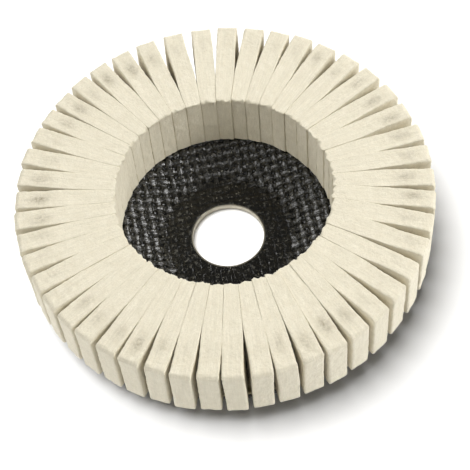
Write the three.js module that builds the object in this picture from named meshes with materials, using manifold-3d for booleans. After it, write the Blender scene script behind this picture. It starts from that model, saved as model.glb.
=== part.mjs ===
// Felt flap polishing wheel for an angle grinder.
//
// Upright blocks of pressed wool felt stand side by side, like the flaps of a sanding disc,
// on a depressed-centre backing plate of woven glass fibre and resin. A pressed sheet-metal
// ring lines the plate's bore. The felt is bonded to the plate by a thin bed of adhesive.
//
// Units are millimetres and +Z is up, towards the felt. The origin is on the bore's axis, at
// the back of the hub, which is the face that the grinder's flange bears on.

import * as THREE from 'three';
import { mergeVertices } from 'three/addons/utils/BufferGeometryUtils.js';
import Module from 'manifold-3d';

const wasm = await Module();
wasm.setup();

// ---------------------------------------------------------------- driving dimensions

const wheelDiameter = 125;
const boreDiameter = 22.23;

// Backing plate: a flat hub, a cone that rises from it, and a flat rim that holds the felt.
const plateThickness = 2.6;
const hubFlatDiameter = 42; // of the hub's front face
const coneRun = 10.5; // measured along the radius
const hubDepth = 5.4; // from the rim's front face down to the hub's front face
const bendRadius = 2.5; // inside radius of the two bends
const rimSetback = 4.5; // how far the felt overhangs the plate's rim
const rimEdgeRadius = 0.4;

// Arbor ring, pressed from sheet: a collar in the bore and a flange sunk into the hub's back.
const ringSheet = 0.5;
const ringFlangeWidth = 5;
const ringBendRadius = 1.0; // on the bore's side
const ringClearance = 0.05;

// Adhesive bed between plate and felt.
const adhesiveThickness = 0.6;
const adhesiveSetback = 0.5; // from the plate's rim and from the felt's inner ends

// Felt lamellae.
const lamellaCount = 48;
const feltThickness = 5.8;
const feltHeight = 20.4;
const feltShoulder = 1.0; // from the top of the cone to the felt's inner ends
const feltCornerRadius = 1.3; // of the outer top corner
const lamellaClearance = 0.3; // between the pressed sides of two neighbours

// The lamellae are laid by hand. They point a little to one side of the wheel's axis, and the
// seams between them stray from even spacing in a few slow waves round the wheel.
const layingOffset = 1.4; // how far a lamella's middle line passes from the axis
const layingStart = 2.1; // degrees, where the first seam would lie without the waves
const layingWaves = [
  { perTurn: 1, swing: 4.3, phase: -50 }, // swing and phase in degrees
  { perTurn: 3, swing: 0.3, phase: 82 },
  { perTurn: 5, swing: 0.4, phase: -136 },
  { perTurn: 6, swing: 0.3, phase: 164 },
];

const turnSegments = 72;
const bendSegments = 3;

// ---------------------------------------------------------------- derived dimensions

const wheelRadius = wheelDiameter / 2;
const boreRadius = boreDiameter / 2;
const plateRadius = wheelRadius - rimSetback;
const hubFlatRadius = hubFlatDiameter / 2;
const rimInnerRadius = hubFlatRadius + coneRun;
const rimFront = plateThickness + hubDepth;
const rimBack = hubDepth;
const coneAngle = Math.atan2(hubDepth, coneRun);
const backShift = plateThickness * Math.tan(coneAngle / 2); // keeps the cone's wall as thick
const ringFlangeRadius = boreRadius + ringFlangeWidth;
const feltInnerRadius = rimInnerRadius + feltShoulder;
const feltBottom = rimFront + adhesiveThickness;

// ---------------------------------------------------------------- helpers

// A closed outline whose corners are rounded. Each corner is [x, y, radius]; a corner with no
// radius stays sharp.
function roundedOutline(corners) {
  const points = [];
  corners.forEach(([x, y, radius = 0], index) => {
    const corner = new THREE.Vector2(x, y);
    if (radius === 0) {
      points.push(corner);
      return;
    }
    const [beforeX, beforeY] = corners[(index + corners.length - 1) % corners.length];
    const [afterX, afterY] = corners[(index + 1) % corners.length];
    const toBefore = new THREE.Vector2(beforeX, beforeY).sub(corner).normalize();
    const toAfter = new THREE.Vector2(afterX, afterY).sub(corner).normalize();
    const halfAngle = Math.acos(toBefore.dot(toAfter)) / 2;
    const tangentLength = radius / Math.tan(halfAngle);
    const bisector = toBefore.clone().add(toAfter).normalize();
    const centre = corner.clone().addScaledVector(bisector, radius / Math.sin(halfAngle));
    const start = corner.clone().addScaledVector(toBefore, tangentLength).sub(centre);
    const end = corner.clone().addScaledVector(toAfter, tangentLength).sub(centre);
    const turn = Math.atan2(start.cross(end), start.dot(end));
    for (let step = 0; step <= bendSegments; step += 1) {
      const along = start.clone().rotateAround(new THREE.Vector2(), (turn * step) / bendSegments);
      points.push(along.add(centre));
    }
  });
  return points;
}

// A ring turned about +Z from an outline of [radius, height] corners, listed so that the outline
// runs upwards on its outer side.
function turnedRing(corners) {
  const outline = roundedOutline(corners);
  outline.push(outline[0].clone());
  const geometry = new THREE.LatheGeometry(outline, turnSegments);
  return geometry.rotateX(Math.PI / 2);
}

function toSolid(geometry) {
  const bare = geometry.clone();
  bare.deleteAttribute('normal');
  bare.deleteAttribute('uv');
  const merged = mergeVertices(bare);
  const mesh = new wasm.Mesh({
    numProp: 3,
    vertProperties: new Float32Array(merged.attributes.position.array),
    triVerts: new Uint32Array(merged.index.array),
  });
  return new wasm.Manifold(mesh);
}

function toGeometry(solid) {
  const mesh = solid.getMesh();
  const geometry = new THREE.BufferGeometry();
  geometry.setAttribute('position', new THREE.BufferAttribute(mesh.vertProperties, mesh.numProp));
  geometry.setIndex(new THREE.BufferAttribute(mesh.triVerts, 1));
  geometry.computeVertexNormals();
  return geometry;
}

// ---------------------------------------------------------------- materials

const feltMaterial = new THREE.MeshStandardMaterial({ color: 0xeee9d7, roughness: 0.95 });
const plateMaterial = new THREE.MeshStandardMaterial({ color: 0x1c1b19, roughness: 0.4 });
const ringMaterial = new THREE.MeshStandardMaterial({
  color: 0xb5b0a3,
  roughness: 0.35,
  metalness: 1,
});
const adhesiveMaterial = new THREE.MeshStandardMaterial({ color: 0x4b4431, roughness: 0.6 });

function namedMesh(name, geometry, material) {
  const mesh = new THREE.Mesh(geometry, material);
  mesh.name = name;
  return mesh;
}

// ---------------------------------------------------------------- backing plate

function backingPlate() {
  const recessRadius = ringFlangeRadius + ringClearance;
  const recessDepth = ringSheet + ringClearance;
  const holeRadius = boreRadius + recessDepth;
  const cornerRadius = ringBendRadius - recessDepth; // concentric with the ring's bend
  return turnedRing([
    [recessRadius, 0],
    [hubFlatRadius + backShift, 0, bendRadius + plateThickness],
    [rimInnerRadius + backShift, rimBack, bendRadius],
    [plateRadius, rimBack, rimEdgeRadius],
    [plateRadius, rimFront, rimEdgeRadius],
    [rimInnerRadius, rimFront, bendRadius + plateThickness],
    [hubFlatRadius, plateThickness, bendRadius],
    [holeRadius, plateThickness],
    [holeRadius, recessDepth, cornerRadius],
    [recessRadius, recessDepth],
  ]);
}

// ---------------------------------------------------------------- arbor ring

function arborRing() {
  const collarRadius = boreRadius + ringSheet;
  return turnedRing([
    [ringFlangeRadius, 0],
    [ringFlangeRadius, ringSheet],
    [collarRadius, ringSheet, ringBendRadius - ringSheet],
    [collarRadius, plateThickness],
    [boreRadius, plateThickness],
    [boreRadius, 0, ringBendRadius],
  ]);
}

// ---------------------------------------------------------------- adhesive bed

function adhesiveBed() {
  const innerRadius = feltInnerRadius + adhesiveSetback;
  const outerRadius = plateRadius - adhesiveSetback;
  return turnedRing([
    [outerRadius, rimFront],
    [outerRadius, feltBottom],
    [innerRadius, feltBottom],
    [innerRadius, rimFront],
  ]);
}

// ---------------------------------------------------------------- felt lamellae

// The direction of the seam before lamella number index, in radians.
function seamAngle(index) {
  const even = (360 * index) / lamellaCount;
  const stray = layingWaves.reduce(
    (sum, { perTurn, swing, phase }) =>
      sum + swing * Math.sin(THREE.MathUtils.degToRad(perTurn * even + phase)),
    0,
  );
  return THREE.MathUtils.degToRad(even + layingStart + stray);
}

// The block as it is cut from the sheet: its outline in the radial plane, with the outer top
// corner rounded, extruded through the felt's thickness.
function feltBlock() {
  const outline = new THREE.Shape();
  const top = feltBottom + feltHeight;
  outline.moveTo(feltInnerRadius, feltBottom);
  outline.lineTo(wheelRadius, feltBottom);
  outline.lineTo(wheelRadius, top - feltCornerRadius);
  outline.absarc(
    wheelRadius - feltCornerRadius, top - feltCornerRadius, feltCornerRadius, 0, Math.PI / 2);
  outline.lineTo(feltInnerRadius, top);
  const block = new THREE.ExtrudeGeometry(outline, {
    depth: feltThickness,
    bevelEnabled: false,
    curveSegments: bendSegments,
  });
  return block.rotateX(Math.PI / 2).translate(0, feltThickness / 2, 0);
}

// The wedge of space between two seams, less half of the clearance on each side. It reaches
// past the felt above, below and outside.
function seamWedge(halfPitch) {
  const reach = wheelRadius * 2;
  const apex = lamellaClearance / 2 / Math.sin(halfPitch);
  const halfWidth = (reach - apex) * Math.tan(halfPitch);
  const outline = new THREE.Shape();
  outline.moveTo(apex, 0);
  outline.lineTo(reach, -halfWidth);
  outline.lineTo(reach, halfWidth);
  const depth = feltHeight + feltBottom * 2;
  return new THREE.ExtrudeGeometry(outline, { depth, bevelEnabled: false });
}

// The felt is squeezed to the wedge where its neighbours press on it, near the inner end, and
// keeps its full thickness further out.
function feltLamella(index) {
  const before = seamAngle(index);
  const after = seamAngle(index + 1);
  const solid = toSolid(feltBlock()).intersect(toSolid(seamWedge((after - before) / 2)));
  const geometry = toGeometry(solid).translate(0, layingOffset, 0);
  const name = `felt_lamella_${String(index + 1).padStart(2, '0')}`;
  const mesh = namedMesh(name, geometry, feltMaterial);
  mesh.rotation.z = (before + after) / 2;
  return mesh;
}

// ---------------------------------------------------------------- assembly

const feltRing = new THREE.Group();
for (let index = 0; index < lamellaCount; index += 1) {
  feltRing.add(feltLamella(index));
}

const polishingWheel = new THREE.Group();
polishingWheel.add(namedMesh('backing_plate', backingPlate(), plateMaterial));
polishingWheel.add(namedMesh('arbor_ring', arborRing(), ringMaterial));
polishingWheel.add(namedMesh('adhesive_bed', adhesiveBed(), adhesiveMaterial));
polishingWheel.add(feltRing);

export default polishingWheel;
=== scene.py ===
"""The looks of a felt flap polishing wheel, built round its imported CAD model.

Each felt lamella is modelled as a block of pressed felt with soft, uneven edges, squeezed by its
neighbours near its inner end. The backing plate is woven glass cloth in black resin, modelled as
a front and a back layer. A lumpy bed of adhesive joins felt and plate, and a pressed metal ring
lines the arbor hole.

Shapes are worked out in millimetres and turned into metres when a mesh is made. A lamella has its
own coordinates: the reach along it from the wheel's axis, the distance aside from its middle line,
and the height.
"""

import itertools
import math
import random

import bpy
import numpy as np
from mathutils import Matrix, Vector


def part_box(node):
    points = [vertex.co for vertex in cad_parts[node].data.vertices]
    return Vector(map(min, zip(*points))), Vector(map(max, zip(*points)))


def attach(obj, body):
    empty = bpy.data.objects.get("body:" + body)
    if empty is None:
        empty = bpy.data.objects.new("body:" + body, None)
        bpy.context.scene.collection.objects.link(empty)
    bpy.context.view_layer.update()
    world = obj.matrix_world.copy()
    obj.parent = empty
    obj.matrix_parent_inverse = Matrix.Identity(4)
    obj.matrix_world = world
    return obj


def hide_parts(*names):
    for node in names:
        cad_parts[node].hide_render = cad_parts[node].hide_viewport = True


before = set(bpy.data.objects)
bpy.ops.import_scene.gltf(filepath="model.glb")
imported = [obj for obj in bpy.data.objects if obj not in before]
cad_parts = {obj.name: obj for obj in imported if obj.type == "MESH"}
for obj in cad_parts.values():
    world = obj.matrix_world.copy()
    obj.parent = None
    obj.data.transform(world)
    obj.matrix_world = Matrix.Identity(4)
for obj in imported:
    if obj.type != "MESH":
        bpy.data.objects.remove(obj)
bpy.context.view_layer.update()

MM = 0.001
SEED = 20
LAMELLAE = sorted(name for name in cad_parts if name.startswith("felt_lamella_"))

# Felt, with lengths in mm
LAMELLA_CELLS = (84, 16, 52)  # along, across and up
END_CROWDING = 0.7  # how much closer together the mesh's points lie towards the edges, up to 1
END_BAND = 0.5  # points of a CAD lamella this near its end belong to the end
CAD_SIDE_GAP = 0.15  # half of the CAD's gap between two pressed sides
SEAM_GAP = 0.014  # half of the gap that is left between two pressed sides
SQUEEZE_BLEND = 0.2  # how gradually a side leaves its neighbour's
SIDE_SWELL = 0.07  # how much each side swells out where it is free
END_SWELL = 0.17  # the same at the outer end
END_SWELL_LENGTH = 13
LEAN = 0.3  # how far the top may lean to a side
OUTER_STRAY = 0.25  # how far the outer end may lie from its place
INNER_STRAY = 0.12
TOP_STRAY = (-0.12, 0.08)  # how far the top may lie below and above its place
TOP_HOLLOW = 0.13
PRESSED_EDGE_RADIUS = 0.05
INNER_EDGE_RADIUS = 0.22
OUTER_EDGE_RADIUS = 0.55
INNER_TOP_RADIUS = 0.5
OUTER_TOP_RADIUS = 1.5
WAVE_SIZE = 9.0  # sizes of the felt's unevenness, from the coarsest to the finest
LUMP_SIZE = 2.2
RAG_SIZE = 1.3
NAP_SIZE = 0.8
FUZZ_SIZE = 0.42
NAP_HEIGHT = 0.08
FUZZ_HEIGHT = 0.07
PRESSED_NAP_HEIGHT = 0.002
SMUDGE_LENGTH = 3.0  # from a smudge's middle to where it has faded to about a third
SMUDGE_WIDTH = 1.5

# Arcs of the ring as (middle, reach), in degrees
SMUDGED_ARCS = ((30, 26), (128, 24), (176, 16), (230, 14), (292, 12), (350, 10))
# the arc where the seams on the inner wall get painted shade
SHADED_SEAM_ARC = (132, 38)

# Glass cloth, with lengths in mm
YARN_PITCH = 2.8
YARN_HALF_WIDTH = 0.88
YARN_WAVE = 0.24  # half of the rise and fall of a yarn
YARN_CROWN = 0.24  # how far a yarn's middle stands over its sides
YARN_STRAY = 0.6  # how far the yarns stray to the side over a long stretch
YARN_STRAY_LENGTH = 9.0
YARN_WOBBLE = 0.22  # how far they stray over a short stretch
YARN_WOBBLE_LENGTH = 2.1
RESIN_LEVEL = -0.52  # over the yarns' middle
CLOTH_TURN = 5.5  # degrees, from the X axis to a yarn
CLOTH_DEPTH = 1.29  # from the plate's surface to the inner face of a layer of cloth
FRONT_CLOTH_SUNK = 0.05  # from the plate's surface to the middle of the yarns
BACK_CLOTH_SUNK = 0.48
PLATE_STEPS_AROUND = 840

# Studio
LAMP_DISTANCE = 1.6  # m, of the lamps that light the wheel


# ---------------------------------------------------------------- meshes


def mesh_object(name, points, quads, attributes):
    """A smooth-shaded mesh object from points in mm and quads that index them.

    attributes is [(name, values)], with one number or one vector for each point.
    """
    mesh = bpy.data.meshes.new(name)
    mesh.vertices.add(len(points))
    mesh.vertices.foreach_set("co", (np.asarray(points) * MM).ravel())
    mesh.loops.add(quads.size)
    mesh.loops.foreach_set("vertex_index", quads.ravel())
    mesh.polygons.add(len(quads))
    mesh.polygons.foreach_set("loop_start", np.arange(0, quads.size, 4))
    mesh.polygons.foreach_set("use_smooth", np.full(len(quads), True))
    for key, values in attributes:
        values = np.asarray(values, dtype=np.float32)
        if values.ndim == 1:
            mesh.attributes.new(key, "FLOAT", "POINT").data.foreach_set("value", values)
        else:
            made = mesh.attributes.new(key, "FLOAT_VECTOR", "POINT")
            made.data.foreach_set("vector", values.ravel())
    mesh.update(calc_edges=True)
    mesh.validate()
    piece = bpy.data.objects.new(name, mesh)
    bpy.context.scene.collection.objects.link(piece)
    return piece


def faces_outwards(points, quads):
    """The same quads, turned round if the closed surface they make is inside out."""
    a, b, c, d = (points[quads[:, corner]] for corner in range(4))
    volume = np.einsum("ij,ij->", a, np.cross(b, c)) + np.einsum("ij,ij->", a, np.cross(c, d))
    return quads if volume > 0 else quads[:, ::-1].copy()


def ring_mesh(name, grid, attributes=()):
    """A ring whose section is closed: grid[k, n] is point k of the section at step n around."""
    rows, columns = grid.shape[:2]
    index = np.arange(rows * columns).reshape(rows, columns)
    beside = np.roll(index, -1, axis=1)
    quads = np.stack(
        [index, beside, np.roll(beside, -1, axis=0), np.roll(index, -1, axis=0)], axis=-1
    ).reshape(-1, 4)
    points = grid.reshape(-1, 3)
    flat = [(key, values.reshape(len(points), -1).squeeze()) for key, values in attributes]
    return mesh_object(name, points, faces_outwards(points, quads), flat)


def box_lattice(cells):
    """The surface of a box of cells: the lattice place of each point, and the quads."""
    sizes = [count + 1 for count in cells]
    places = np.stack(np.meshgrid(*[np.arange(size) for size in sizes], indexing="ij"), axis=-1)
    limits = np.array(cells)
    on_surface = ((places == 0) | (places == limits)).any(axis=-1)
    index = np.full(sizes, -1)
    index[on_surface] = np.arange(on_surface.sum())
    quads = []
    for axis in range(3):
        across, up = (axis + 1) % 3, (axis + 2) % 3
        for end in (0, cells[axis]):
            sheet = np.moveaxis(index, (axis, across, up), (0, 1, 2))[end]
            corners = [sheet[:-1, :-1], sheet[1:, :-1], sheet[1:, 1:], sheet[:-1, 1:]]
            if end == 0:
                corners.reverse()
            quads.append(np.stack(corners, axis=-1).reshape(-1, 4))
    return places[on_surface], np.concatenate(quads)


def spread(places, cells, ends):
    """Lattice places as numbers from -1 to 1, set closer together towards the ends."""
    even = places * 2 / cells - 1
    return even * (1 - ends) + (1.5 * even - 0.5 * even**3) * ends


def smooth_step(values, low, high):
    """A smooth rise from 0, at low and below it, to 1, at high and above it."""
    share = np.clip((values - low) / (high - low), 0, 1)
    return share * share * (3 - 2 * share)


def smooth_drop(values, low, high):
    """A smooth drop from 1, at low and below it, to 0, at high and above it."""
    return smooth_step(-values, -high, -low)


def soft_minimum(a, b, blend):
    """The smaller of a and b, rounded off where they are less than blend apart."""
    share = np.clip(0.5 + 0.5 * (b - a) / blend, 0, 1)
    return b * (1 - share) + a * share - blend * share * (1 - share)


NOISE_CELLS = 32  # the noise repeats after so many lumps
NOISE_TABLE = np.random.default_rng(SEED).uniform(-1, 1, (NOISE_CELLS,) * 3)


def noise_at(points, size):
    """Smooth seeded noise from -1 to 1 at points in mm, with lumps of that size in mm."""
    place = np.asarray(points) / size
    cell = np.floor(place).astype(int)
    part = smooth_step(place - cell, 0, 1)
    total = np.zeros(place.shape[:-1])
    for corner in itertools.product((0, 1), repeat=3):
        weight = np.prod(np.where(corner, part, 1 - part), axis=-1)
        x, y, z = np.moveaxis((cell + corner) % NOISE_CELLS, -1, 0)
        total += weight * NOISE_TABLE[x, y, z]
    return total


# ---------------------------------------------------------------- what the frame says


def node_points(name):
    """The corners of a CAD node, in mm."""
    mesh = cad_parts[name].data
    points = np.empty(len(mesh.vertices) * 3)
    mesh.vertices.foreach_get("co", points)
    return points.reshape(-1, 3) / MM


def plate_profiles():
    """The plate's front and back surfaces as (radii, heights) pairs, in mm."""
    points = node_points("backing_plate")
    sides = {1: set(), -1: set()}
    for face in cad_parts["backing_plate"].data.polygons:
        if abs(face.normal.z) < 0.2:  # a wall of the hole, the recess or the rim
            continue
        side = 1 if face.normal.z > 0 else -1
        for corner in face.vertices:
            x, y, z = points[corner]
            sides[side].add((round(math.hypot(x, y), 3), round(z, 3)))
    return [np.array(sorted(sides[side])).T for side in (1, -1)]


def box_middle(points):
    """The middle of the box that holds the points."""
    return (points.min(axis=0) + points.max(axis=0)) / 2


class Lamella:
    """Where the CAD puts one lamella: its own axes, and how wide its space is along it."""

    def __init__(self, name):
        points = node_points(name)
        flat = points[:, :2]
        self.name = name
        self.bottom, self.top = points[:, 2].min(), points[:, 2].max()
        along = flat.mean(axis=0)
        for _ in range(2):  # the second time with ends found along the first time's line
            along = along / np.linalg.norm(along)
            reach = flat @ along
            inner = flat[reach < reach.min() + END_BAND]
            outer = flat[reach > reach.max() - END_BAND]
            along = box_middle(outer) - box_middle(inner)
        self.along = along / np.linalg.norm(along)
        self.across = np.array([-self.along[1], self.along[0]])
        self.bearing = math.degrees(math.atan2(self.along[1], self.along[0]))
        reach, aside = flat @ self.along, flat @ self.across
        self.inner, self.outer = reach.min(), reach.max()
        self.offset = (aside.min() + aside.max()) / 2
        self.half_thickness = (aside.max() - aside.min()) / 2
        inner_half = np.ptp(aside[reach < self.inner + END_BAND]) / 2
        self.slope = (inner_half + CAD_SIDE_GAP) / self.inner

    def half_width(self, reach):
        """Half of the felt's thickness at a distance along the lamella."""
        wedge = reach * self.slope - SEAM_GAP
        outwards = smooth_step(reach, self.outer - END_SWELL_LENGTH, self.outer)
        free = self.half_thickness + SIDE_SWELL * (1 - outwards) + END_SWELL * outwards
        return soft_minimum(wedge, free, SQUEEZE_BLEND)

    def place(self, reach, aside, height):
        """Points in the shared frame from the lamella's own coordinates, all in mm."""
        flat = np.outer(reach, self.along) + np.outer(aside + self.offset, self.across)
        return np.column_stack([flat, height])


lamellae = [Lamella(name) for name in LAMELLAE]
hub_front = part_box("arbor_ring")[1].z / MM
rim_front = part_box("adhesive_bed")[0].z / MM
front_profile, back_profile = plate_profiles()
plate_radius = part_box("backing_plate")[1].x / MM


# ---------------------------------------------------------------- materials


def shader_node(tree, kind, inputs=None, **settings):
    """A node with its settings made and its inputs set or linked."""
    made = tree.nodes.new("ShaderNode" + kind)
    for key, value in settings.items():
        setattr(made, key, value)
    for key, value in (inputs or {}).items():
        if isinstance(value, bpy.types.NodeSocket):
            tree.links.new(value, made.inputs[key])
        else:
            made.inputs[key].default_value = value
    return made


def new_material(name):
    """A material, its node tree and its surface shader."""
    made = bpy.data.materials.new(name)
    made.use_nodes = True
    return made, made.node_tree, made.node_tree.nodes["Principled BSDF"]


def attribute_value(tree, name):
    return shader_node(tree, "Attribute", attribute_name=name).outputs["Fac"]


def attribute_vector(tree, name):
    return shader_node(tree, "Attribute", attribute_name=name).outputs["Vector"]


def stretched(tree, vector, scale):
    """Coordinates scaled along each axis. Noise on them is finer along an axis scaled up."""
    mapped = shader_node(tree, "Mapping", {"Vector": vector, "Scale": scale})
    return mapped.outputs["Vector"]


def place_in_mm(tree):
    """Coordinates on the object, in mm."""
    place = shader_node(tree, "TexCoord").outputs["Object"]
    return stretched(tree, place, (1 / MM, 1 / MM, 1 / MM))


def noise_value(tree, vector, scale, detail, roughness):
    inputs = {"Vector": vector, "Scale": scale, "Detail": detail, "Roughness": roughness}
    return shader_node(tree, "TexNoise", inputs).outputs["Fac"]


def ranged(tree, value, low, high, to_low=0.0, to_high=1.0):
    """A value that runs from to_low, at low, to to_high, at high, and stays there beyond them."""
    inputs = {
        "Value": value,
        "From Min": low,
        "From Max": high,
        "To Min": to_low,
        "To Max": to_high,
    }
    return shader_node(tree, "MapRange", inputs).outputs["Result"]


def arithmetic(tree, operation, first, second):
    made = shader_node(tree, "Math", {0: first, 1: second}, operation=operation)
    return made.outputs["Value"]


def product(tree, first, *others):
    for other in others:
        first = arithmetic(tree, "MULTIPLY", first, other)
    return first


def mixed_colour(tree, share, first, second):
    """The first colour where share is 0 and the second where it is 1."""
    inputs = {0: share, 6: first, 7: second}  # the sockets that a Mix node uses for colours
    return shader_node(tree, "Mix", inputs, data_type="RGBA").outputs[2]


def bumped(tree, height, strength, distance_mm, normal=None):
    """A bump added to the normal, or to the surface's own one."""
    inputs = {"Height": height, "Strength": strength, "Distance": distance_mm * MM}
    if normal is not None:
        inputs["Normal"] = normal
    return shader_node(tree, "Bump", inputs).outputs["Normal"]


def felt_material():
    """Cream wool felt: mottled, faintly layered, smudged on top, dusty and with painted shade in the
    gaps and some seams, browner towards its foot.
    """
    material, tree, surface = new_material("felt")
    place = attribute_vector(tree, "felt_place")
    smudge = attribute_value(tree, "smudge")
    foot_browning = attribute_value(tree, "foot_browning")
    dust_and_shade = attribute_value(tree, "dust_and_shade")
    light_cream, dark_cream = (0.84, 0.785, 0.635, 1), (0.755, 0.69, 0.53, 1)
    layer_cream, grain_cream = (0.67, 0.62, 0.48, 1), (0.62, 0.565, 0.43, 1)
    shade_and_dust_brown, shade_and_dust_yellow = (0.30, 0.24, 0.12, 1), (0.76, 0.67, 0.46, 1)
    smudge_grey = (0.29, 0.245, 0.165, 1)
    foot_brown = (0.22, 0.175, 0.08, 1)

    mottle = noise_value(tree, place, 0.45, 4.0, 0.6)
    layers = noise_value(tree, stretched(tree, place, (0.12, 2.2, 0.2)), 1.0, 3.0, 0.6)
    grain = noise_value(tree, place, 3.2, 4.0, 0.7)
    tufts = noise_value(tree, place, 1.3, 3.0, 0.65)

    colour = mixed_colour(tree, ranged(tree, mottle, 0.3, 0.7), light_cream, dark_cream)
    layer_share = ranged(tree, layers, 0.40, 0.66, 0.0, 0.6)
    colour = mixed_colour(tree, layer_share, colour, layer_cream)
    grain_share = ranged(tree, grain, 0.42, 0.7, 0.0, 0.68)
    colour = mixed_colour(tree, grain_share, colour, grain_cream)
    smudge_share = product(tree, smudge, ranged(tree, tufts, 0.35, 0.65, 0.35, 1.0))
    colour = mixed_colour(tree, smudge_share, colour, smudge_grey)
    # Specks of dusting mixed with painted shade, laid where the felt faces a gap or a seam.
    specks = mixed_colour(tree, ranged(tree, grain, 0.42, 0.6), shade_and_dust_brown, shade_and_dust_yellow)
    colour = mixed_colour(tree, dust_and_shade, colour, specks)
    # Browner towards the felt's foot.
    foot_browning_share = product(tree, foot_browning, ranged(tree, tufts, 0.3, 0.6, 0.5, 1.0))
    colour = mixed_colour(tree, foot_browning_share, colour, foot_brown)
    tree.links.new(colour, surface.inputs["Base Color"])

    normal = bumped(tree, tufts, 0.6, 0.3)
    normal = bumped(tree, grain, 0.8, 0.15, normal)
    tree.links.new(normal, surface.inputs["Normal"])
    surface.inputs["Roughness"].default_value = 0.95
    surface.inputs["Specular IOR Level"].default_value = 0.15
    surface.inputs["Sheen Weight"].default_value = 0.3
    surface.inputs["Sheen Roughness"].default_value = 0.6
    surface.inputs["Sheen Tint"].default_value = (1.0, 0.97, 0.88, 1)
    return material


def cloth_material():
    """Glossy black resin over grey glass yarns, with fine filaments, facets and specks, lighter yarn
    crowns that are partly painted glints, and painted glints on the hub's crossings.
    """
    material, tree, surface = new_material("glass_cloth")
    yarn = attribute_vector(tree, "yarn_place")
    crown = attribute_value(tree, "crown")
    hub = attribute_value(tree, "hub")
    place = place_in_mm(tree)
    black_resin, brown_resin = (0.003, 0.003, 0.002, 1), (0.008, 0.007, 0.004, 1)
    yarn_and_glint_grey, glint_grey = (0.12, 0.118, 0.107, 1), (0.10, 0.098, 0.085, 1)
    speck_grey = (0.22, 0.21, 0.17, 1)

    filaments = noise_value(tree, stretched(tree, yarn, (0.7, 5.0, 1.0)), 1.0, 3.0, 0.65)
    blotch = noise_value(tree, place, 0.25, 4.0, 0.6)
    facets = noise_value(tree, place, 1.3, 2.0, 0.6)
    grain = noise_value(tree, place, 3.0, 3.0, 0.7)
    speck = noise_value(tree, place, 1.1, 1.0, 0.5)

    colour = mixed_colour(tree, ranged(tree, blotch, 0.4, 0.65), black_resin, brown_resin)
    drawn = ranged(tree, filaments, 0.35, 0.7)
    glint_patches = ranged(tree, facets, 0.42, 0.60, 0.15, 1.0)
    bare = ranged(tree, hub, 0.0, 1.0, 1.0, 0.3)
    # The yarns' crowns are grey: partly their own colour, partly painted glints broken into patches.
    colour = mixed_colour(tree, product(tree, crown, drawn, glint_patches, bare), colour, yarn_and_glint_grey)
    colour = mixed_colour(tree, ranged(tree, speck, 0.70, 0.78), colour, speck_grey)
    # Painted glints on the yarn crossings on the hub.
    crossing = ranged(tree, crown, 0.75, 1.0)
    crossing_glints = product(tree, hub, crossing, ranged(tree, facets, 0.56, 0.64))
    colour = mixed_colour(tree, crossing_glints, colour, glint_grey)
    tree.links.new(colour, surface.inputs["Base Color"])

    dullness = ranged(tree, grain, 0.3, 0.7, 0.08, 0.24)
    dullness = arithmetic(tree, "ADD", dullness, product(tree, hub, 0.04))
    tree.links.new(dullness, surface.inputs["Roughness"])
    normal = bumped(tree, filaments, 0.5, 0.08)
    normal = bumped(tree, facets, 0.5, 0.15, normal)
    normal = bumped(tree, grain, 0.4, 0.04, normal)
    tree.links.new(normal, surface.inputs["Normal"])
    return material


def adhesive_material():
    """Cured adhesive: dark olive brown, grainy, flecked with bits of felt."""
    material, tree, surface = new_material("adhesive")
    place = place_in_mm(tree)
    dark_olive, light_olive = (0.16, 0.135, 0.065, 1), (0.42, 0.36, 0.20, 1)
    dust_cream = (0.62, 0.55, 0.36, 1)
    blotch = noise_value(tree, place, 0.5, 3.0, 0.6)
    grain = noise_value(tree, place, 2.2, 3.0, 0.7)
    colour = mixed_colour(tree, ranged(tree, blotch, 0.35, 0.65), dark_olive, light_olive)
    flecks = ranged(tree, grain, 0.55, 0.68)
    colour = mixed_colour(tree, flecks, colour, dust_cream)
    tree.links.new(colour, surface.inputs["Base Color"])
    dullness = ranged(tree, grain, 0.3, 0.7, 0.35, 0.75)
    tree.links.new(dullness, surface.inputs["Roughness"])
    normal = bumped(tree, grain, 0.8, 0.3)
    tree.links.new(normal, surface.inputs["Normal"])
    return material


def ring_material():
    """Thin plated sheet, faintly drawn round the bore and darkened in patches."""
    material, tree, surface = new_material("ring_metal")
    place = attribute_vector(tree, "ring_place")
    bright, dull = (0.46, 0.43, 0.36, 1), (0.28, 0.26, 0.20, 1)
    drawn = noise_value(tree, stretched(tree, place, (0.08, 6.0, 6.0)), 1.0, 3.0, 0.6)
    patches = noise_value(tree, place, 0.35, 4.0, 0.6)
    colour = mixed_colour(tree, ranged(tree, patches, 0.35, 0.7), bright, dull)
    tree.links.new(colour, surface.inputs["Base Color"])
    dullness = ranged(tree, drawn, 0.3, 0.7, 0.35, 0.55)
    tree.links.new(dullness, surface.inputs["Roughness"])
    normal = bumped(tree, drawn, 0.3, 0.05)
    tree.links.new(normal, surface.inputs["Normal"])
    surface.inputs["Metallic"].default_value = 1.0
    return material


# ---------------------------------------------------------------- felt lamellae


def rounded_box_points(points, low, high, radius):
    """Points of a box's surface moved onto the same box with rounded edges, and their normals.

    radius holds one edge radius for each point.
    """
    radius = radius[:, None]
    core = np.clip(points, low + radius, high - radius)
    out = points - core
    out = out / np.linalg.norm(out, axis=1)[:, None]
    return core + out * radius, out


def round_corner(x, z, corner_x, corner_z, radius, x_sign):
    """Bends the square corner at (corner_x, corner_z) into an arc of that radius.

    The corner is at the top, at the outer end if x_sign is 1 and at the inner end if it is -1.
    """
    across = (x - (corner_x - x_sign * radius)) * x_sign / radius
    up = (z - (corner_z - radius)) / radius
    inside = (across > 0) & (up > 0)
    # A square's corner mapped onto a disc's
    bent_across = across * np.sqrt(np.clip(1 - up**2 / 2, 0, 1))
    bent_up = up * np.sqrt(np.clip(1 - across**2 / 2, 0, 1))
    new_x = np.where(inside, corner_x - x_sign * radius * (1 - bent_across), x)
    new_z = np.where(inside, corner_z - radius * (1 - bent_up), z)
    return new_x, new_z


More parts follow.
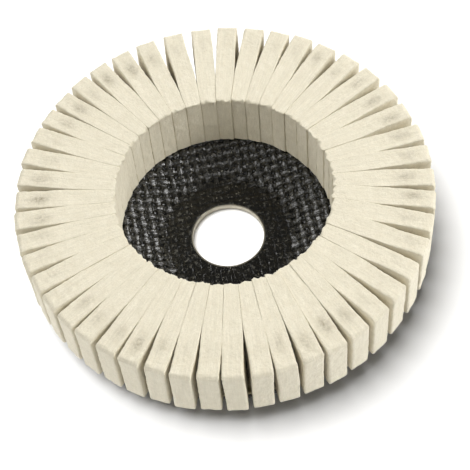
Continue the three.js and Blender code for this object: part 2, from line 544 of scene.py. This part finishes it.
def felt_surface(lamella, number, lattice, draw):
    """The lattice shaped to a lamella's space, worn soft at the edges.

    Gives each point's reach, aside and height, its share across the thickness from -1 to 1, and
    how far the felt there stands apart from its neighbours, from 0 to 1.
    """
    cells = zip(lattice.T, LAMELLA_CELLS)
    share = np.column_stack([spread(places, count, END_CROWDING) for places, count in cells])
    low = np.array([lamella.inner, -lamella.half_thickness, lamella.bottom])
    high = np.array([lamella.outer, lamella.half_thickness, lamella.top])
    middle, half = (low + high) / 2, (high - low) / 2
    outwards = (share[:, 0] + 1) / 2
    upwards = (share[:, 2] + 1) / 2
    radius = (
        PRESSED_EDGE_RADIUS
        + (INNER_EDGE_RADIUS - PRESSED_EDGE_RADIUS) * smooth_drop(outwards, 0, 0.06)
        + (OUTER_EDGE_RADIUS - PRESSED_EDGE_RADIUS) * smooth_step(outwards, 0.45, 0.9)
    )
    box = middle + share * half
    points, normals = rounded_box_points(box, middle - half, middle + half, radius)
    x, y, z = points.T
    seed = np.array([0, 37.0 * number, 0])  # each lamella has its own part of the noise
    ragged = noise_at(np.column_stack([0 * y, y, 0 * y]) + seed, RAG_SIZE)
    inner_top_radius = INNER_TOP_RADIUS * (1 + 0.6 * ragged)
    x, z = round_corner(x, z, lamella.outer, lamella.top, OUTER_TOP_RADIUS, 1)
    x, z = round_corner(x, z, lamella.inner, lamella.top, inner_top_radius, -1)

    room = x * lamella.slope - lamella.half_thickness  # from its side to the seam's middle
    apart = smooth_step(room, -0.3, 0.7)
    waves = noise_at(np.column_stack([x, y * 0.15, z]) + seed, WAVE_SIZE)
    lumps = noise_at(points + seed, LUMP_SIZE)
    nap = noise_at(points + seed, NAP_SIZE)
    fuzz = noise_at(points + seed + 9, FUZZ_SIZE)
    across = y / lamella.half_thickness
    y = across * lamella.half_width(x)
    off_foot = smooth_step(upwards, 0.0, 0.25)
    near_inner = smooth_drop(x, lamella.inner, lamella.inner + 3)
    near_outer = smooth_step(x, lamella.outer - 6, lamella.outer)
    near_top = smooth_step(z, lamella.top - 4, lamella.top)
    at_top = smooth_step(z, lamella.top - 1.6, lamella.top - 0.1)

    # Cut and squeezed felt is never quite straight: it leans, bows, swells and strays a little.
    # The amounts are in mm.
    lean = draw.uniform(-LEAN, LEAN)
    outer_stray = draw.uniform(-OUTER_STRAY, OUTER_STRAY)
    inner_stray = draw.uniform(-INNER_STRAY, INNER_STRAY)
    top_stray = draw.uniform(*TOP_STRAY)
    y = y + apart * off_foot * (lean * upwards**2 + 0.16 * waves)
    x = x + near_outer * (outer_stray + 0.12 * waves + 0.10 * lumps)
    x = x + near_inner * (inner_stray + 0.12 * lumps + 0.10 * nap)
    x = x + near_inner * at_top * (0.35 * ragged + 0.15 * nap)
    z = z + near_top * (top_stray + 0.10 * waves + 0.05 * lumps)
    off_ends = smooth_step(x, lamella.inner + 4, lamella.outer - 8)
    z = z - at_top * TOP_HOLLOW * (1 - across**2) * off_ends

    # Its surface frays, most on its two ends and where it stands free.
    nap_height = (PRESSED_NAP_HEIGHT + NAP_HEIGHT * apart) * off_foot
    fuzz_height = (PRESSED_NAP_HEIGHT + FUZZ_HEIGHT * apart) * off_foot
    fray = nap_height * nap + fuzz_height * fuzz
    rough_end = NAP_HEIGHT * nap + NAP_HEIGHT * fuzz
    end_fray = np.where(np.abs(normals[:, 0]) > 0.5, rough_end, fray)
    x = x + normals[:, 0] * end_fray
    y = y + normals[:, 1] * fray
    z = z + normals[:, 2] * (fray + 0.03 * fuzz) * near_top
    return x, y, z, across, apart


def inside_arc(bearing, arc):
    """How far inside an arc of the ring a bearing is: 1 in its middle, 0 far from it. In degrees."""
    middle, reach = arc
    off = (bearing - middle + 180) % 360 - 180
    return math.exp(-((off / reach) ** 2))


def felt_marks(lamella, x, y, z, across, apart, draw):
    """How strong the smudge, the browning towards the foot, and the dusting with painted shade are
    at each point, up to about 1.
    """
    worn = max(inside_arc(lamella.bearing, arc) for arc in SMUDGED_ARCS)
    centre = lamella.outer - draw.uniform(6.0, 8.5)
    side = draw.uniform(-0.6, 0.6)
    spot = np.exp(-(((x - centre) / SMUDGE_LENGTH) ** 2) - ((y - side) / SMUDGE_WIDTH) ** 2)
    strength = 0.95 * (0.2 + 0.8 * worn) * draw.uniform(0.45, 1.1)
    smudge = strength * spot * smooth_step(z, lamella.top - 1.2, lamella.top - 0.3)

    between_ends = smooth_step(x, lamella.inner + 0.8, lamella.inner + 3)
    between_ends = between_ends * smooth_drop(x, lamella.outer - 3.0, lamella.outer - 0.6)
    # Browner towards the felt's foot, between its ends.
    foot_browning = 0.75 * between_ends * smooth_drop(z, lamella.bottom, lamella.bottom + 5.0)

    # Dusting lies on the sides in the gaps, with painted shade that deepens towards the foot.
    # Painted shade lies in the seams that open on the inner wall, on one arc of the ring.
    depth = smooth_drop(z, lamella.bottom, lamella.top)
    below_top = smooth_drop(z, lamella.top - 2.5, lamella.top - 0.4)
    on_side = smooth_step(np.abs(across), 0.85, 1.0)
    gap_dust_and_shade = between_ends * apart * on_side * below_top * (0.3 + 0.7 * depth)
    seam = smooth_step(np.abs(across), 0.88, 0.98)
    seam = seam * smooth_drop(x, lamella.inner, lamella.inner + 1.2)
    # Painted shade in the seams, only on that arc.
    shaded_seam = inside_arc(lamella.bearing, SHADED_SEAM_ARC) * seam
    seam_shade = shaded_seam * smooth_drop(z, lamella.top - 1, lamella.top)
    return smudge, foot_browning, np.maximum(gap_dust_and_shade, seam_shade)


def felt_lamella(lamella, number, lattice, quads, material):
    """One block of felt, from a box lattice."""
    draw = random.Random(SEED + number)
    x, y, z, across, apart = felt_surface(lamella, number, lattice, draw)
    smudge, foot_browning, dust_and_shade = felt_marks(lamella, x, y, z, across, apart, draw)
    felt_place = np.column_stack([x, y + 20.0 * number, z])  # so that no two lamellae look alike
    piece = mesh_object(
        f"felt_{number + 1:02d}",
        lamella.place(x, y, z),
        quads,
        [("felt_place", felt_place), ("smudge", smudge), ("foot_browning", foot_browning), ("dust_and_shade", dust_and_shade)],
    )
    piece.data.materials.append(material)
    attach(piece, "root")
    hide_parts(lamella.name)


# ---------------------------------------------------------------- adhesive bed


def adhesive_bed(material):
    """The bed under the felt, flat where a lamella stands and lumpy in the gaps between them."""
    steps_under, steps_between = 4, 8
    upper_rows, lower_rows = 90, 12
    setback = 0.5  # from the felt's inner end
    margin = 0.02  # by which the flat part is wider than the felt on it
    sunk = 0.04  # from the felt's foot down to the flat part
    low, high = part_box("adhesive_bed")
    bottom, felt_foot = low.z / MM, high.z / MM
    reaches = np.linspace(lamellae[0].inner + setback, high.x / MM, upper_rows)
    level = np.zeros(upper_rows)  # the heights are set below
    upper = []
    lift = []
    for number, lamella in enumerate(lamellae):
        follower = lamellae[(number + 1) % len(lamellae)]
        half = lamella.half_width(reaches) + margin
        for share in np.linspace(-1, 1, steps_under + 1):
            upper.append(lamella.place(reaches, share * half, level))
            lift.append(level)
        near = lamella.place(reaches, half, level)
        far = follower.place(reaches, -follower.half_width(reaches) - margin, level)
        width = np.linalg.norm(far - near, axis=1)
        for share in np.linspace(0, 1, steps_between + 1)[1:-1]:
            upper.append(near * (1 - share) + far * share)
            fillet = 0.25 + 0.75 * (2 * share - 1) ** 2  # it creeps up the felt on both sides
            lift.append(smooth_step(width, 0.3, 1.6) * fillet)
    upper = np.array(upper).transpose(1, 0, 2)
    lift = np.array(lift).T
    lumps = noise_at(upper, 1.1)
    grains = noise_at(upper, 0.45)
    upper[..., 2] = felt_foot - sunk + lift * (1.2 + 1.1 * lumps + 0.6 * grains)
    lower = upper[::-1][np.linspace(0, upper_rows - 1, lower_rows).astype(int)]
    lower[..., 2] = bottom
    piece = ring_mesh("adhesive_bead", np.concatenate([upper, lower]))
    piece.data.materials.append(material)
    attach(piece, "root")
    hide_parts("adhesive_bed")


# ---------------------------------------------------------------- backing plate


def weave(x, y):
    """Plain weave at points in mm: height over the yarns' middle, crown share, yarn coordinates."""
    turn = math.radians(CLOTH_TURN)
    turned_x = x * math.cos(turn) + y * math.sin(turn)
    turned_y = y * math.cos(turn) - x * math.sin(turn)
    flat = np.stack([x, y, 0 * x], axis=-1)

    def strayed(place, shift):
        """Yarns aren't laid quite straight. Shift picks the part of the noise to use."""
        stray = YARN_STRAY * noise_at(flat + shift, YARN_STRAY_LENGTH)
        wobble = YARN_WOBBLE * noise_at(flat + (shift + 40), YARN_WOBBLE_LENGTH)
        return place + stray + wobble

    drawn_x = strayed(turned_x, 50)
    drawn_y = strayed(turned_y, 130)
    swell = 1 + 0.18 * noise_at(flat + 210, 2.4)

    def yarns(along, across):
        """Height of parallel yarns, with -1 between them, and the number of the nearest one."""
        row = np.round(across / YARN_PITCH)
        off = across - row * YARN_PITCH
        rise = np.cos(np.pi * (along / YARN_PITCH + row))
        wave = YARN_WAVE * np.sin(np.pi / 2 * rise)  # flat where it crosses over or under
        arch = np.clip(1 - (off / (YARN_HALF_WIDTH * swell)) ** 2, 0, None)
        height = np.where(arch > 0, wave + YARN_CROWN * np.sqrt(arch), -1.0)
        return height, row

    warp, warp_row = yarns(drawn_x, drawn_y)
    weft, weft_row = yarns(drawn_y + YARN_PITCH, drawn_x)
    height = np.maximum(np.maximum(warp, weft), RESIN_LEVEL)
    crown = smooth_step(height, -0.05, 0.42)
    on_warp = warp > weft
    along = np.where(on_warp, drawn_x, drawn_y)
    across = np.where(on_warp, drawn_y, drawn_x)
    row = np.where(on_warp, warp_row, weft_row + 200)  # no warp yarn has such a number
    yarn_place = np.stack([along, across, row * 7.0], axis=-1)  # the noise differs between yarns
    return height, crown, yarn_place


def cloth_layer(name, radii, profile, side, sunk, relief, material):
    """One layer of the plate, as a closed ring.

    Its outer face follows the profile and carries the weave, with relief times its height at each
    of the radii. side is 1 for the front and -1 for the back.
    """
    angles = np.linspace(0, 2 * np.pi, PLATE_STEPS_AROUND, endpoint=False)
    skin = np.interp(radii, *profile)
    radius_grid, angle_grid = np.meshgrid(radii, angles, indexing="ij")
    x, y = radius_grid * np.cos(angle_grid), radius_grid * np.sin(angle_grid)
    height, crown, yarn_place = weave(x, y)
    share = np.repeat(relief[:, None], len(angles), axis=1)
    rough = noise_at(np.stack([x, y, 0 * x], axis=-1), 0.9)
    lift = height * share + 0.04 * rough
    edge = smooth_step(radius_grid, radii[-1] - 0.6, radii[-1]) * 0.25  # rounds the rim
    z = skin[:, None] + side * (lift - sunk - edge)
    outer_face = np.stack([x, y, z], axis=-1)

    inner_rows = 8
    inner_radii = np.linspace(radii[-1], radii[0], inner_rows)
    inner_x = np.outer(inner_radii, np.cos(angles))
    inner_y = np.outer(inner_radii, np.sin(angles))
    inner_z = np.interp(inner_radii, *profile) - side * CLOTH_DEPTH
    inner_z = np.repeat(inner_z[:, None], len(angles), axis=1)
    inner_face = np.stack([inner_x, inner_y, inner_z], axis=-1)

    blank = np.zeros(inner_x.shape)  # the inner face has no weave
    crown = np.concatenate([crown, blank])
    hub = np.concatenate([1 - smooth_step(share, 0.4, 1.0), blank])
    yarn_place = np.concatenate([yarn_place, np.repeat(blank[..., None], 3, axis=-1)])
    grid = np.concatenate([outer_face, inner_face])
    piece = ring_mesh(name, grid, [("crown", crown), ("hub", hub), ("yarn_place", yarn_place)])
    piece.data.materials.append(material)
    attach(piece, "root")
    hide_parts("backing_plate")


def backing_plate(material):
    """Two layers of cloth, one seen from the front and one from the back.

    On the front, resin nearly fills the weave on the hub and under the felt.
    """
    flat_edge = front_profile[0][front_profile[1] <= hub_front + 0.01].max()
    cone_edge = front_profile[0][front_profile[1] > rim_front - 0.01].min()
    hole = front_profile[0].min()
    recess = back_profile[0][back_profile[1] < 0.01].min()
    rim_edge = plate_radius - 0.1

    fine = np.arange(hole, cone_edge + 2.5, 0.25)
    coarse = np.linspace(cone_edge + 2.8, rim_edge, 14)  # hidden by the adhesive and the felt
    front_radii = np.concatenate([fine, coarse])
    on_cone = smooth_step(front_radii, flat_edge - 2.0, flat_edge + 1.5)
    under_felt = smooth_step(front_radii, cone_edge + 0.9, cone_edge + 1.6)
    front_relief = 0.24 + 0.96 * on_cone - 0.9 * under_felt
    cloth_layer(
        "plate_front_cloth", front_radii, front_profile, 1, FRONT_CLOTH_SUNK, front_relief, material
    )

    back_radii = np.linspace(recess, rim_edge, 96)
    back_relief = np.full(len(back_radii), 0.9)
    cloth_layer(
        "plate_back_cloth", back_radii, back_profile, -1, BACK_CLOTH_SUNK, back_relief, material
    )


# ---------------------------------------------------------------- arbor ring


def ring_section():
    """The section of the pressed ring as [radius, height] points, its bore's radius and its top."""
    points = node_points("arbor_ring")
    radii = np.hypot(points[:, 0], points[:, 1])
    bore, flange = radii.min(), radii.max()
    top = points[:, 2].max()
    sheet = np.ptp(radii[points[:, 2] > top - 0.01])
    bend = 1.0  # radius on the bore's side
    inner_bend = bend - sheet
    flange_edge, lip_edge = 0.1, 0.12  # chamfers
    flange_start = bore + bend

    section = []
    for turn in np.linspace(0, np.pi / 2, 9):
        section.append((bore + bend * (1 - math.cos(turn)), bend * (1 - math.sin(turn))))
    for step in np.linspace(0.4, flange - bore - bend - flange_edge, 8):  # the flange's face
        section.append((flange_start + step, 0.0))
    section.append((flange, flange_edge))
    section.append((flange, sheet - flange_edge))
    section.append((flange - flange_edge, sheet))
    section.append((flange_start + 0.3, sheet))
    for turn in np.linspace(0, np.pi / 2, 6):
        radius = flange_start - inner_bend * math.sin(turn)
        section.append((radius, bend - inner_bend * math.cos(turn)))
    section.append((bore + sheet, top - lip_edge))
    section.append((bore + sheet - lip_edge, top))
    section.append((bore + lip_edge, top))
    for height in np.linspace(top - lip_edge, bend + 0.2, 6):
        section.append((bore, height))
    return np.array(section), bore, top


def arbor_ring(material):
    """The pressed ring: a collar with a slightly uneven lip, a rolled bend and a flat flange."""
    section, bore, top = ring_section()
    angles = np.linspace(0, 2 * np.pi, 240, endpoint=False)
    radius_grid, angle_grid = np.meshgrid(section[:, 0], angles, indexing="ij")
    height_grid = np.repeat(section[:, 1][:, None], len(angles), axis=1)
    reach = 12  # of the circle on which the noise is taken, so that it meets itself
    circle = [reach * np.cos(angle_grid), reach * np.sin(angle_grid), 0 * angle_grid]
    wobble = noise_at(np.stack(circle, axis=-1), 3.0)
    lip = smooth_step(height_grid, top - 0.5, top) * (radius_grid < bore + 1)
    height_grid = height_grid + lip * (0.06 * wobble - 0.02)
    ring_place = np.stack([angle_grid * bore, radius_grid, height_grid], axis=-1)
    x, y = radius_grid * np.cos(angle_grid), radius_grid * np.sin(angle_grid)
    grid = np.stack([x, y, height_grid], axis=-1)
    piece = ring_mesh("arbor_sleeve", grid, [("ring_place", ring_place)])
    piece.data.materials.append(material)
    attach(piece, "root")
    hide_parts("arbor_ring")


# ---------------------------------------------------------------- floor, light and camera


def stage_object(name, corners, faces, material):
    """A part of the studio, which isn't part of the wheel."""
    mesh = bpy.data.meshes.new(name)
    mesh.from_pydata(corners, [], faces)
    mesh.materials.append(material)
    made = bpy.data.objects.new(name, mesh)
    bpy.context.scene.collection.objects.link(made)
    return made


def floor():
    """A pale floor that the wheel's hub lies on."""
    material, _, surface = new_material("pale_floor")
    surface.inputs["Base Color"].default_value = (0.96, 0.96, 0.96, 1)
    surface.inputs["Roughness"].default_value = 0.9
    surface.inputs["Specular IOR Level"].default_value = 0.1
    side = 3.0  # m
    corners = [(-side, -side, 0), (side, -side, 0), (side, side, 0), (-side, side, 0)]
    return stage_object("floor", corners, [(0, 1, 2, 3)], material)


def backdrop():
    """A pale wall far round the wheel, which only the camera sees, so it throws no light."""
    material, _, surface = new_material("pale_wall")
    surface.inputs["Base Color"].default_value = (0.0, 0.0, 0.0, 1)
    surface.inputs["Specular IOR Level"].default_value = 0.0
    surface.inputs["Emission Color"].default_value = (1.0, 1.0, 1.0, 1)
    surface.inputs["Emission Strength"].default_value = 0.85
    sides, radius, height = 96, 2.9, 2.5  # the lengths in m
    angles = [2 * math.pi * step / sides for step in range(sides)]
    foot = [(radius * math.cos(turn), radius * math.sin(turn), 0) for turn in angles]
    head = [(x, y, height) for x, y, _ in foot]
    quads = [(k, (k + 1) % sides, (k + 1) % sides + sides, k + sides) for k in range(sides)]
    wall = stage_object("backdrop", foot + head, quads, material)
    wall.visible_diffuse = False
    wall.visible_glossy = False
    wall.visible_transmission = False
    wall.visible_shadow = False


def area_light(name, bearing, elevation, distance, size, power, ground, lights_ground=False):
    """A round soft light aimed at the wheel. It lights either the floor alone or all but it."""
    light = bpy.data.lights.new(name, "AREA")
    light.shape = "DISK"
    light.size = size
    light.energy = power
    lamp = bpy.data.objects.new(name, light)
    turn, rise = math.radians(bearing), math.radians(elevation)
    towards = Vector((
        math.cos(turn) * math.cos(rise), math.sin(turn) * math.cos(rise), math.sin(rise)
    ))
    lamp.location = towards * distance
    lamp.rotation_euler = towards.to_track_quat("Z", "Y").to_euler()
    bpy.context.scene.collection.objects.link(lamp)
    group = bpy.data.collections.new(name + "_floor_link")
    group.objects.link(ground)
    lamp.light_linking.receiver_collection = group
    state = "INCLUDE" if lights_ground else "EXCLUDE"
    group.collection_objects[0].light_linking.link_state = state


def studio(ground):
    """Soft lamps round the wheel, one lamp for the floor, and a dim white world."""
    scene = bpy.context.scene
    scene.view_settings.view_transform = "Standard"
    world = bpy.data.worlds.new("studio")
    world.use_nodes = True
    background = world.node_tree.nodes["Background"]
    background.inputs["Color"].default_value = (1, 1, 1, 1)
    background.inputs["Strength"].default_value = 0.14
    scene.world = world
    lamps = (  # name, bearing and elevation in degrees, size in m, power in W
        ("right", 352, 37, 0.8, 19.0),
        ("right_back", 42, 32, 0.42, 8.5),
        ("left_back", 137, 32, 0.45, 7.0),
        ("left", 184, 42, 0.8, 8.0),
        ("front", 265, 57, 0.5, 3.5),
    )
    for name, bearing, elevation, size, power in lamps:
        area_light(name, bearing, elevation, LAMP_DISTANCE, size, power, ground)
    area_light(
        "above_floor", bearing=160, elevation=74, distance=2.7, size=2.1, power=102.0,
        ground=ground, lights_ground=True,
    )


def camera():
    """A long lens above the front, looking down at the hub, with the horizon rolled a little."""
    elevation = math.radians(58.1)
    roll = math.radians(-6.5)
    distance = 0.4276  # m, from the hub
    lens = bpy.data.cameras.new("camera")
    lens.lens = 104.8
    lens.sensor_width = 36.0
    lens.shift_x = 0.014
    lens.clip_start = 0.01
    viewer = bpy.data.objects.new("camera", lens)
    back = Vector((0, -math.cos(elevation), math.sin(elevation)))
    place = Vector((0, 0, hub_front * MM)) + back * distance
    tilt = Matrix.Rotation(math.pi / 2 - elevation, 4, "X")
    viewer.matrix_world = Matrix.Translation(place) @ tilt @ Matrix.Rotation(roll, 4, "Z")
    bpy.context.scene.collection.objects.link(viewer)
    bpy.context.scene.camera = viewer


# ---------------------------------------------------------------- everything


felt = felt_material()
lattice, lattice_quads = box_lattice(LAMELLA_CELLS)
for number, lamella in enumerate(lamellae):
    felt_lamella(lamella, number, lattice, lattice_quads, felt)
adhesive_bed(adhesive_material())
backing_plate(cloth_material())
arbor_ring(ring_material())
studio(floor())
backdrop()
camera()
